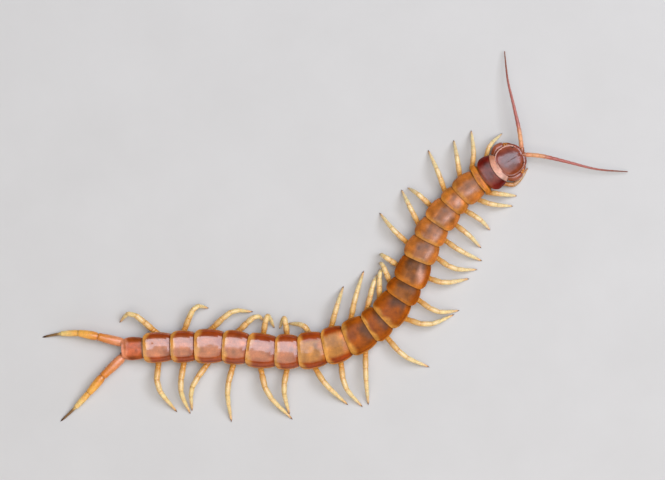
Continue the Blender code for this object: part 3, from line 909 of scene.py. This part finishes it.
def limb_rings(joints, articles, size, sides, bow=0.0, flat=1.0):
    """Rings of a jointed limb, with each ring's article and its share along it."""
    joints = np.array(joints, float)
    centres, ways, radii, marks = [], [], [], []
    for index, (neck, body, end) in enumerate(articles):
        start, stop = joints[index], joints[index + 1]
        way = unit(stop - start)
        for share, necks, bodies, ends in ARTICLE_PROFILE:
            centre = start + (stop - start) * share
            centre[2] += bow * math.sin(math.pi * share) * np.linalg.norm(stop - start)
            centres.append(centre)
            ways.append(way)
            radii.append(size * (neck * necks + body * bodies + end * ends))
            marks.append((index, share))
        if index + 1 < len(articles):
            following = unit(joints[index + 2] - stop)
            centres.append(stop)
            ways.append(unit(way + following))
            radii.append(size * min(end, articles[index + 1][0]) * 0.90)
            marks.append((index, 1.0))
    rings = turned_rings(centres, ways, radii, sides, flat)
    return rings, np.array(marks)


def horn(form, start, way, length, radius, droop, tints, sides=10, rows=12):
    """A curved tapering spine, claw or bristle."""
    way = unit(np.asarray(way, float))
    droop = np.asarray(droop, float)
    shares = np.linspace(0, 1, rows)
    centres = [start + way * length * share + droop * length * share**2 for share in shares]
    ways = [unit(way + 2 * droop * share) for share in shares]
    radii = [radius * (1 - share) ** 0.8 + 0.012 for share in shares]
    rings = turned_rings(centres, ways, radii, sides, up=(0.13, 0.27, 1.0))
    colours = blend(np.asarray(tints[0]), np.asarray(tints[1]), shares)
    add_tube(form, rings, np.repeat(colours[:, None, :], sides, axis=1))


def joint_shade(marks):
    """How close each ring is to the membrane at a joint."""
    share = marks[:, 1]
    close = smooth(0.978, 0.998, share) + 0.8 * smooth(0.045, 0.01, share)
    return np.clip(close, 0, 1) * (marks[:, 0] + share > 0.1)


def leg_tints(marks, number, sides, count, painted_shadow):
    """Yellow legs: deeper near the body and towards the tail, paler outwards, brown at the joints."""
    outward = (marks[:, 0] + marks[:, 1]) / count
    rearward = number / LAST
    base = blend(GOLD, AMBER, 0.22 + 0.25 * rearward)
    pale = blend(CREAM, STRAW, 0.30 + 0.55 * rearward)
    tint = blend(base, pale, smooth(0.15, 0.7, outward))
    tint = blend(tint, CREAM, 0.35 * hump(0.5, 0.3, marks[:, 1]) * smooth(0.2, 0.5, outward))
    tint = blend(tint, STRAW * 0.9, 0.5 * smooth(0.90, 1.0, outward))
    tint = blend(tint, APRICOT, 0.5 * smooth(0.80, 0.97, outward))
    tint = blend(tint, AMBER * 0.8, 0.4 * joint_shade(marks))
    # Painted shadow, where a leg lies in shade
    tint = blend(tint, BRICK, painted_shadow)
    return np.repeat(tint[:, None, :], sides, axis=1)


def add_leg(form, claws, number, side):
    line = leg_line(number, side)
    front, back = LEG_SIZES
    size = LEG_RADIUS * (front + (back - front) * number / LAST) * (FIRST_LEG_SIZE if number == 1 else 1.0)
    ends = [end for end, *_ in LEG_ARTICLES]
    joints = line.at(np.array([-0.06, *ends]) * line.length)
    articles = [radii for _, *radii in LEG_ARTICLES]
    rings, marks = limb_rings(joints, articles, size, 20, bow=0.02)
    # Painted shadow: the first right leg, lying beside the head, is darkened towards brick red
    painted_shadow = 0.6 if number == 1 and side < 0 else 0.0
    add_tube(form, rings, leg_tints(marks, number, 20, len(articles), painted_shadow))
    tip, foot = line.at(line.length * np.array((0.945, 1.0)))
    way = foot - tip
    reach = np.linalg.norm(way) * 1.02
    horn(claws, tip, way + (0, 0, 0.3 * reach), reach, 0.27 * size, (0, 0, -0.24), (AMBER, CLAW_BROWN))
    for turn in (-1, 1):
        beside = np.cross(unit(way), (0, 0, 1)) * turn
        root = tip + beside * 0.16 * size
        spur = way / np.linalg.norm(way) + beside * 0.45 + np.array((0, 0, -0.25))
        horn(claws, root, spur, 0.55, 0.09, (0, 0, -0.1), (UMBER, BLACK), 6, 5)
    spur_at = rings[-12].mean(axis=0)
    horn(claws, spur_at, way + (0, 0, -0.6 * reach), 0.75 * size, 0.10, (0, 0, 0.05), (AMBER, UMBER), 6, 5)


def build_legs(materials):
    for side, name in ((1, "left"), (-1, "right")):
        claws = Form()
        for number in range(1, LAST):
            form = Form()
            add_leg(form, claws, number, side)
            node = f"leg_{name}_{number:02d}"
            form.piece(f"walking_leg_{name}_{number:02d}", materials["leg"], [node])
        nodes = [f"leg_{name}_{number:02d}" for number in range(1, LAST)]
        claws.piece(f"leg_claws_{name}", materials["claw"], nodes)


def trail_tints(marks, sides, count):
    """The last legs: brick red at the thigh, gold beyond the knee and grey brown at the tip."""
    outward = (marks[:, 0] + marks[:, 1]) / count
    tint = blend(THIGH, AMBER * 1.25, smooth(0.04, 0.20, outward))
    tint = blend(tint, GOLD * 1.12, smooth(0.18, 0.34, outward))
    tint = blend(tint, STRAW * 1.08, smooth(0.38, 0.56, outward))
    tint = blend(tint, UMBER, 0.85 * smooth(0.58, 0.68, outward))
    tint = blend(tint, CLAW_BROWN, 0.8 * smooth(0.80, 1.0, outward))
    tint = blend(tint, UMBER, 0.55 * joint_shade(marks))
    return np.repeat(tint[:, None, :], sides, axis=1)


def build_trailing_legs(materials):
    for name, side, knots in (("left", 1, LEFT_TRAIL), ("right", -1, RIGHT_TRAIL)):
        line = Line(knots)
        ends = [end for end, *_ in TRAIL_ARTICLES]
        joints = line.at(np.array([-0.02, *ends]) * line.length)
        articles = [radii for _, *radii in TRAIL_ARTICLES]
        rings, marks = limb_rings(joints, articles, 1.0, 32, bow=0.015, flat=0.92)
        form = Form()
        add_tube(form, rings, trail_tints(marks, 32, len(articles)))
        spines = Form()
        add_trail_spines(spines, joints, side)
        tip, foot = line.at(line.length * np.array((0.96, 1.0)))
        way = foot - tip
        horn(spines, tip, way, np.linalg.norm(way), 0.36, (0, 0, -0.05), (UMBER, BLACK))
        node = [f"leg_{name}_21"]
        form.piece(f"trailing_leg_{name}", materials["leg"], node)
        spines.piece(f"trailing_spines_{name}", materials["claw"], node)


def add_trail_spines(form, joints, side):
    """Short spines on the inner and lower face of the thigh, and one at its inner corner."""
    start, stop = joints[0], joints[1]
    way = unit(stop - start)
    inner = np.cross(way, (0, 0, 1)) * -side
    rows = ((0.45, -0.2), (0.72, -0.2), (0.35, -0.9), (0.62, -0.9), (0.96, 0.55))
    for share, lift in rows:
        out = unit(inner + np.array((0, 0, lift)))
        root = start + (stop - start) * share + out * 1.36
        horn(form, root, out + way * 0.9, 0.7, 0.16, (0, 0, 0), (SCARLET, CLAW_BROWN), 8, 6)


FEELER_COUNT = 18
FEELER_SHARES = (0.0, 0.05, 0.15, 0.28, 0.45, 0.62, 0.80, 1.0)
FEELER_RADII = (0.92, 1.0, 0.95, 0.78, 0.62, 0.50, 0.38, 0.20)
FEELER_RADIUS = 0.82


def build_feelers(materials):
    for name, knots, seed in (("left", LEFT_FEELER, 3), ("right", RIGHT_FEELER, 8)):
        line = Line(knots)
        rng = random.Random(seed)
        steps = np.array([1.15 - 0.35 * index / FEELER_COUNT for index in range(FEELER_COUNT)])
        ends = np.concatenate(((0.0,), np.cumsum(steps) / steps.sum()))
        joints = line.at(ends * line.length)
        sizes = FEELER_RADIUS * np.interp((ends[:-1] + ends[1:]) / 2, FEELER_SHARES, FEELER_RADII)
        articles = [(size * 0.90, size * 0.98, size * 1.01) for size in sizes]
        rings, marks = limb_rings(joints, articles, 1.0, 18)
        outward = (marks[:, 0] + marks[:, 1]) / FEELER_COUNT
        tint = blend(SALMON, APRICOT, smooth(0.0, 0.06, outward))
        tint = blend(tint, FEELER_RED, smooth(0.10, 0.22, outward))
        tint = blend(tint, BRICK * 0.7, smooth(0.45, 0.95, outward))
        tint = blend(tint, tint * 0.6, 0.8 * joint_shade(marks))
        form = Form()
        add_tube(form, rings, np.repeat(tint[:, None, :], 18, axis=1))
        add_bristles(form, rings, marks, rng)
        form.piece(f"feeler_{name}", materials["feeler"], [f"antenna_{name}"])


def add_bristles(form, rings, marks, rng):
    """Fine short hairs on the outer articles."""
    for ring, (article, share) in zip(rings, marks):
        if article < 6 or not 0.2 < share < 0.95:
            continue
        middle = ring.mean(axis=0)
        for _ in range(2):
            root = ring[rng.randrange(len(ring))]
            out = unit(root - middle)
            horn(form, root - out * 0.02, out, 0.22, 0.02, (0, 0, 0), (FEELER_RED, STRAW), 3, 3)


# Head

EYE_PLACE = (2.95, 4.0)
LENS_RADIUS = 0.23


# Outline of the head shield: a rounded square, fuller behind than ahead
HEAD_MIDDLE = -0.85
HEAD_REACHES = (5.5, 4.7)
HEAD_POWERS = (2.12, 2.45)
HEAD_HALF_WIDTH = 5.4


def head_outline(turn):
    """Forward and sideways reach of the head shield at a turn from straight ahead."""
    ahead = np.cos(turn)
    beside = np.sin(turn)
    power = 2 / np.where(ahead > 0, *HEAD_POWERS)
    reach = np.where(ahead > 0, *HEAD_REACHES)
    forward = np.sign(ahead) * np.abs(ahead) ** power * reach + HEAD_MIDDLE
    across = np.sign(beside) * np.abs(beside) ** power * HEAD_HALF_WIDTH
    forward = forward - 0.38 * hump(0.0, 0.75, across) * smooth(2.0, 4.0, forward)
    return forward, across


def head_height(turn, radial):
    """Height of the head shield: a low dome, with a groove and a rim near its edge."""
    rearward = smooth(0.1, -1.0, np.cos(turn))
    edge = 5.6 + 1.2 * rearward
    dome = 1 - radial**2.7
    relief = 0.10 * hump(0.965, 0.03, radial) - 0.07 * hump(0.90, 0.035, radial)
    return edge + (7.1 - edge) * dome + relief


def head_shield_points(turn, radial):
    forward, across = head_outline(turn)
    up = head_height(turn, radial)
    forward = (forward - HEAD_MIDDLE) * radial + HEAD_MIDDLE
    across = across * radial
    up = up - 0.05 * hump(0.0, 0.05, across) * smooth(4.4, 1.0, forward) * smooth(-3.5, -1.0, forward)
    rng = random.Random(5)
    for _ in range(9):
        ahead = rng.uniform(-3.5, 3.8)
        beside = rng.uniform(-3.4, 3.4)
        depth = rng.uniform(-0.05, 0.02)
        up = up + depth * hump(ahead, rng.uniform(0.4, 1.1), forward) * hump(beside, rng.uniform(0.4, 1.2), across)
    return forward, across, up


# Lengthwise streaks of the head: offset to the left, start, end and half breadth
HEAD_STREAKS = (
    (0.05, -3.0, 3.2, 0.10),
    (0.55, -2.2, 0.2, 0.16),
    (0.75, 0.6, 3.6, 0.20),
    (-0.35, -0.8, 1.8, 0.14),
    (1.25, -0.6, 2.2, 0.12),
)


def head_streaks(forward, across):
    """How dark the lengthwise streaks near the middle of the head are."""
    total = np.zeros(forward.shape)
    for middle, start, end, wide in HEAD_STREAKS:
        wander = 0.12 * np.sin(1.7 * forward + 5 * middle)
        ends = smooth(start - 0.5, start + 0.6, forward) * smooth(end + 0.5, end - 0.6, forward)
        total += hump(middle + wander, wide, across) * ends
    return np.clip(total, 0.0, 1.0)


def build_head_shield(materials):
    turns = np.arange(144) * math.tau / 144
    radials = np.sin(np.linspace(0.012, 1, 40) * math.pi / 2)
    turn, radial = np.meshgrid(turns, radials)
    forward, across, up = head_shield_points(turn, radial)
    upper = on_head(forward, across, up)
    tints = blend(PLUM, MAROON, smooth(0.35, 0.85, radial))
    # Painted shade: the right side of the shield, out of the sheen, painted a deeper brick red
    tints = blend(tints, BRICK * 0.8, 0.8 * smooth(0.5, 0.9, radial) * smooth(0.2, -0.6, np.cos(turn - 1.5)))
    # Painted highlight: a pale pink rim and a salmon flush on the front left of the shield
    tints = blend(tints, PAINTED_SHEEN, 0.9 * smooth(0.925, 0.955, radial) * smooth(-0.6, 0.3, np.cos(turn - 0.9)))
    tints = blend(tints, SALMON, 0.25 * smooth(0.6, 1.0, radial) * smooth(0.4, 1.0, np.cos(turn - 0.9)))
    tints = blend(tints, PLUM * 0.45, 0.75 * head_streaks(forward, across))
    lower = upper.copy()
    lower[..., 2] -= 0.22 * (1 - 0.5 * smooth(0.9, 1.0, radial))
    rings = np.concatenate((upper, lower[::-1]))
    form = Form()
    rows, columns = rings.shape[:2]
    faces = grid_faces(rows, columns, wrap=True)
    faces += [list(range(columns)), list(range((rows - 1) * columns, rows * columns))]
    form.add(rings, faces, np.concatenate((tints, tints[::-1])))
    form.piece("head_shield", materials["shield"], ["head"])


def build_head_case(materials):
    """The head under its shield: a rounded case with the brow between the feelers."""
    shares = np.linspace(0, 1, 30)
    turns = np.arange(56) * math.tau / 56
    rings = []
    for share in shares:
        forward = -4.6 + 9.5 * share
        round_end = (1 - abs(2 * share - 1) ** 3.2) ** (1 / 2.4) if 0 < share < 1 else 0.0
        half = 4.9 * max(round_end, 0.10)
        side = np.sign(np.cos(turns)) * np.abs(np.cos(turns)) ** 0.75 * half
        deep = 1.05 * max(round_end, 0.2) ** 0.5
        up = 5.05 + np.sign(np.sin(turns)) * np.abs(np.sin(turns)) ** 0.8 * deep
        rings.append(on_head(forward, side, up))
    rings = np.array(rings)
    low = smooth(4.9, 4.1, rings[..., 2])
    tints = blend(MAROON, BRICK, low)
    tints = blend(tints, AMBER, 0.5 * low * smooth(0.75, 1.0, shares)[:, None])
    form = Form()
    add_tube(form, rings, tints)
    add_lip(form)
    add_mouth_limbs(form)
    form.piece("head_case", materials["claw"], ["head"])


def add_lip(form):
    """The face plate under the brow and the lip below it, made as one sloping plate."""
    across, along = np.meshgrid(np.linspace(-1, 1, 21), np.linspace(0, 1, 9))
    forward = 4.35 - 0.35 * across**2 - 0.9 * along
    up = 4.75 - 0.75 * along
    points = on_head(forward, across * (2.2 - 0.5 * along), up)
    tints = np.broadcast_to(AMBER * 0.8, (*across.shape, 3))
    add_shell(form, points, np.full(across.shape, 0.25), tints)


def add_mouth_limbs(form):
    """The feeling legs of the mouth, folded under the head."""
    for side in (-1, 1):
        knots = ((0.6, side * 1.9, 4.0), (2.6, side * 2.0, 3.85), (3.9, side * 1.3, 3.7), (4.3, side * 0.5, 3.6))
        line = Line([on_head(*knot) for knot in knots])
        joints = line.at(np.array((0.0, 0.42, 0.72, 1.0)) * line.length)
        articles = ((0.42, 0.55, 0.50), (0.40, 0.48, 0.42), (0.34, 0.38, 0.20))
        rings, marks = limb_rings(joints, articles, 1.0, 14)
        tint = blend(np.broadcast_to(AMBER, (len(marks), 3)), UMBER, 0.7 * joint_shade(marks))
        add_tube(form, rings, np.repeat(tint[:, None, :], 14, axis=1))


def build_feeler_sockets(materials):
    form = Form()
    for knots in (LEFT_FEELER, RIGHT_FEELER):
        line = Line(knots)
        way = line.heading(0.0)
        start = line.at(0.0)
        profile = ((-2.6, 0.70), (-1.2, 0.86), (-0.4, 0.86), (-0.18, 0.82), (-0.06, 0.74), (-0.08, 0.62))
        centres = [start + way * offset for offset, _ in profile]
        rings = turned_rings(centres, [way] * len(profile), [radius for _, radius in profile], 28)
        tints = blend(MAROON, AMBER, np.linspace(0, 1, len(profile)))
        add_tube(form, rings, np.repeat(tints[:, None, :], 28, axis=1))
    form.piece("feeler_sockets", materials["claw"], ["head"])


def eye_spot(side):
    """Middle of a group of lenses, on the shield's front corner, and the way it faces."""
    turn = math.atan2(side * EYE_PLACE[1], EYE_PLACE[0] - HEAD_MIDDLE)
    forward, across, up = head_shield_points(np.array(turn), np.array(0.915))
    middle = on_head(forward, across, up)
    out = on_head(forward + 1.0, across + side * 1.35, up + 1.9) - middle
    return middle, unit(out)


def build_eyes(materials):
    for name, side in (("left", 1), ("right", -1)):
        middle, out = eye_spot(side)
        ahead = unit(np.cross(out, (0, 0, 1))) * -side
        above = np.cross(out, ahead)
        form = Form()
        for forward, high in ((0.52, 0.05), (0.0, 0.40), (-0.50, 0.0), (0.02, -0.36)):
            place = middle + ahead * forward + above * high - out * 0.06
            tilts = np.linspace(0.02, 1, 9) * math.pi / 2
            centres = [place + out * LENS_RADIUS * 0.8 * math.cos(tilt) for tilt in tilts]
            radii = [LENS_RADIUS * math.sin(tilt) for tilt in tilts]
            rings = turned_rings(centres, [out] * len(tilts), radii, 20, up=ahead)
            add_tube(form, rings, np.broadcast_to(CLAW_BROWN * 0.5, (*rings.shape[:2], 3)))
        form.piece(f"eye_lenses_{name}", materials["lens"], [f"eye_{name}"])


# Poison claws and the plate that carries them

CLAW_ENDS = (0.43, 0.50, 0.57)
CLAW_RADII = ((0.0, 1.2), (0.10, 1.38), (0.24, 1.50), (0.38, 1.36), (0.43, 1.12))


def build_poison_claws(materials):
    for name, side in (("left", 1), ("right", -1)):
        line = Line([on_head(x, side * y, z) for x, y, z in CLAW_KNOTS])
        form = Form()
        thigh = np.linspace(-0.02, CLAW_ENDS[0], 22)
        radii = np.interp(thigh, *zip(*CLAW_RADII)) * (1 - 0.22 * smooth(0.415, 0.43, thigh))
        tint = blend(BRICK, MAROON, smooth(0.0, 0.25, thigh))
        # Painted highlight: paler salmon round the thickest part of the thigh
        tint = blend(tint, SALMON, 0.30 * hump(0.26, 0.13, thigh))
        add_claw_part(form, line, thigh, radii, tint)
        for start, end, radius in ((0.425, 0.50, 1.02), (0.495, 0.565, 0.95)):
            shares = np.linspace(start, end, 8)
            bulge = radius * (0.86 + 0.14 * np.sin(np.linspace(0, math.pi, 8)))
            tint = blend(np.broadcast_to(AMBER, (8, 3)), UMBER, np.array((1, 0.3, 0, 0, 0, 0, 0.3, 1)) * 0.8)
            add_claw_part(form, line, shares, bulge, tint)
        fang = np.linspace(0.555, 1.0, 26)
        radii = 0.94 * (1 - ((fang - 0.555) / 0.45)) ** 0.75 + 0.03
        tint = blend(BRICK, BLACK, smooth(0.66, 0.84, fang))
        add_claw_part(form, line, fang, radii, tint)
        node = [f"forcipule_{name}"]
        form.piece(f"poison_claw_{name}", materials["claw"], node)


def add_claw_part(form, line, shares, radii, tint):
    distances = shares * line.length
    rings = turned_rings(line.at(distances), line.heading(distances), radii, 30)
    add_tube(form, rings, np.repeat(tint[:, None, :], 30, axis=1))


def build_jaw_plate(materials):
    """The broad plate under the head, with two toothed lobes at its front."""
    shares = np.linspace(0, 1, 24)
    turns = np.arange(56) * math.tau / 56
    rings = []
    for share in shares:
        forward = -6.6 + 7.4 * share
        half = 2.75 * (1 - 0.35 * max(0.0, share - 0.55) ** 1.2) * min(1.0, 0.55 + share * 2.2)
        deep = 1.12 * min(1.0, 0.4 + 3 * share, 0.25 + 3.2 * (1 - share))
        side = np.sign(np.cos(turns)) * np.abs(np.cos(turns)) ** 0.6 * half
        seam = 0.12 * hump(0.0, 0.12, side) * smooth(0.0, -0.5, np.sin(turns))
        up = 2.75 + np.sign(np.sin(turns)) * np.abs(np.sin(turns)) ** 0.7 * deep + seam
        rings.append(on_head(forward, side, up))
    rings = np.array(rings)
    tints = blend(BRICK, AMBER, smooth(0.9, 0.2, shares))
    form = Form()
    add_tube(form, rings, np.repeat(tints[:, None, :], 56, axis=1))
    forward_way = on_head(1.0, 0.0, 0.0) - on_head(0.0, 0.0, 0.0)
    for side in (-1, 1):
        for tooth in range(4):
            root = on_head(0.55, side * (0.35 + 0.42 * tooth), 2.45)
            horn(form, root, forward_way, 0.75 - 0.08 * tooth, 0.24, (0, 0, 0), (MAROON, BLACK), 10, 7)
    form.piece("jaw_plate", materials["claw"], ["trunk_01"])


# Tail end

def build_tail_end(materials):
    """The flank pieces that carry the last legs, their pointed ends, and the vent between."""
    form = Form()
    end = BODY_END
    backward = on_body(end + 1.0, 0.0, 0.0) - on_body(end, 0.0, 0.0)
    for side in (-1, 1):
        shares = np.linspace(0, 1, 22)
        centres = on_body(end - 4.6 + 4.6 * shares, side * (2.1 + 0.15 * shares), 3.35 + 0.1 * shares)
        radii = 1.62 * (1 - 0.75 * (1 - shares) ** 3) * (1 - 0.35 * smooth(0.9, 1.0, shares))
        rings = turned_rings(centres, [backward] * 22, radii, 32)
        tint = blend(np.broadcast_to(BRICK, (22, 3)), SCARLET, shares)
        add_tube(form, rings, np.repeat(tint[:, None, :], 32, axis=1))
        root = on_body(end - 0.9, side * 1.15, 2.3)
        way = backward + (on_body(end, side * 0.12, 0.0) - on_body(end, 0.0, 0.0)) + (0, 0, -0.18)
        horn(form, root, way, 2.9, 0.62, (0, 0, 0), (SCARLET, CLAW_BROWN), 16, 12)
    vent = on_body(end - 0.6, 0.0, 3.3)
    horn(form, vent, backward, 1.7, 0.85, (0, 0, -0.05), (TAN, AMBER), 20, 12)
    form.piece("tail_end", materials["front"], ["trunk_20_21"])


# Floor, light and camera

PHOTO_WIDTH = 232.75 * MM  # what the picture's width covers at the height of the back
VIEW_MIDDLE = (-0.77 * MM, -1.16 * MM)
VIEW_HEIGHT = 1.2
SENSOR = 36.0


def build_floor():
    bpy.ops.mesh.primitive_grid_add(x_subdivisions=40, y_subdivisions=40, size=6.0)
    floor = bpy.context.active_object
    floor.name = "pale_floor"
    made = bpy.data.materials.new("pale_floor")
    made.use_nodes = True
    nodes = made.node_tree.nodes
    link = made.node_tree.links.new
    place = nodes.new("ShaderNodeTexCoord").outputs["Object"]
    ramp = nodes.new("ShaderNodeValToRGB")
    ramp.color_ramp.elements[0].color = (0.53, 0.51, 0.475, 1.0)
    ramp.color_ramp.elements[1].color = (0.59, 0.57, 0.535, 1.0)
    link(noise_node(nodes, link, place, 30.0, 4.0), ramp.inputs["Fac"])
    link(ramp.outputs["Color"], nodes["Principled BSDF"].inputs["Base Color"])
    nodes["Principled BSDF"].inputs["Roughness"].default_value = 0.85
    floor.data.materials.append(made)


def area_light(name, place, aim, size, power, colour):
    """A soft box of this size in metres, facing a point."""
    light = bpy.data.lights.new(name, "AREA")
    light.shape = "RECTANGLE"
    light.size, light.size_y = size
    light.energy = power
    light.color = colour
    made = bpy.data.objects.new(name, light)
    made.location = place
    made.rotation_euler = (Vector(aim) - Vector(place)).to_track_quat("-Z", "Y").to_euler()
    bpy.context.scene.collection.objects.link(made)
    return made


SKY_HEIGHT = 1.7
# Overhead panels: least and greatest x and y, light given off by each square metre, and colour
SKY_PANELS = {
    "sky_panel": ((-0.32, 0.6), (-0.1, 0.8), 19.0, (0.80, 0.86, 1.0)),
    "head_panel": ((0.6, 1.9), (-0.3, 1.3), 18.0, (0.82, 0.87, 1.0)),
    "side_panel": ((-0.95, 1.1), (-1.2, -0.1), 5.4, (1.0, 0.93, 0.86)),
}


def build_light():
    for name, (xs, ys, strength, colour) in SKY_PANELS.items():
        size = (xs[1] - xs[0], ys[1] - ys[0])
        middle = (sum(xs) / 2, sum(ys) / 2)
        power = strength * size[0] * size[1]
        area_light(name, (*middle, SKY_HEIGHT), (*middle, 0.0), size, power, colour)
    area_light("low_panel", (-0.2, -1.9, 1.0), (0.0, -0.1, 0.0), (3.4, 1.2), 10.0, (1.0, 0.92, 0.82))
    world = bpy.data.worlds.new("studio")
    bpy.context.scene.world = world
    world.use_nodes = True
    back = world.node_tree.nodes["Background"]
    back.inputs["Color"].default_value = (1.0, 0.95, 0.88, 1.0)
    back.inputs["Strength"].default_value = 0.11
    bpy.context.scene.view_settings.view_transform = "Standard"


def build_camera():
    camera = bpy.data.cameras.new("camera")
    camera.type = "PERSP"
    camera.sensor_width = SENSOR
    camera.lens = SENSOR * (VIEW_HEIGHT - BACK * MM) / PHOTO_WIDTH
    camera.clip_start = 0.01
    made = bpy.data.objects.new("camera", camera)
    made.location = (*VIEW_MIDDLE, VIEW_HEIGHT)
    bpy.context.scene.collection.objects.link(made)
    bpy.context.scene.camera = made


def main():
    materials = build_materials()
    for number in range(1, LAST + 1):
        build_back_plate(number, materials)
    build_skin(materials)
    build_belly_plates(materials)
    build_spiracles(materials)
    build_legs(materials)
    build_trailing_legs(materials)
    build_feelers(materials)
    build_head_shield(materials)
    build_head_case(materials)
    build_feeler_sockets(materials)
    build_eyes(materials)
    build_poison_claws(materials)
    build_jaw_plate(materials)
    build_tail_end(materials)
    build_floor()
    build_light()
    build_camera()


main()
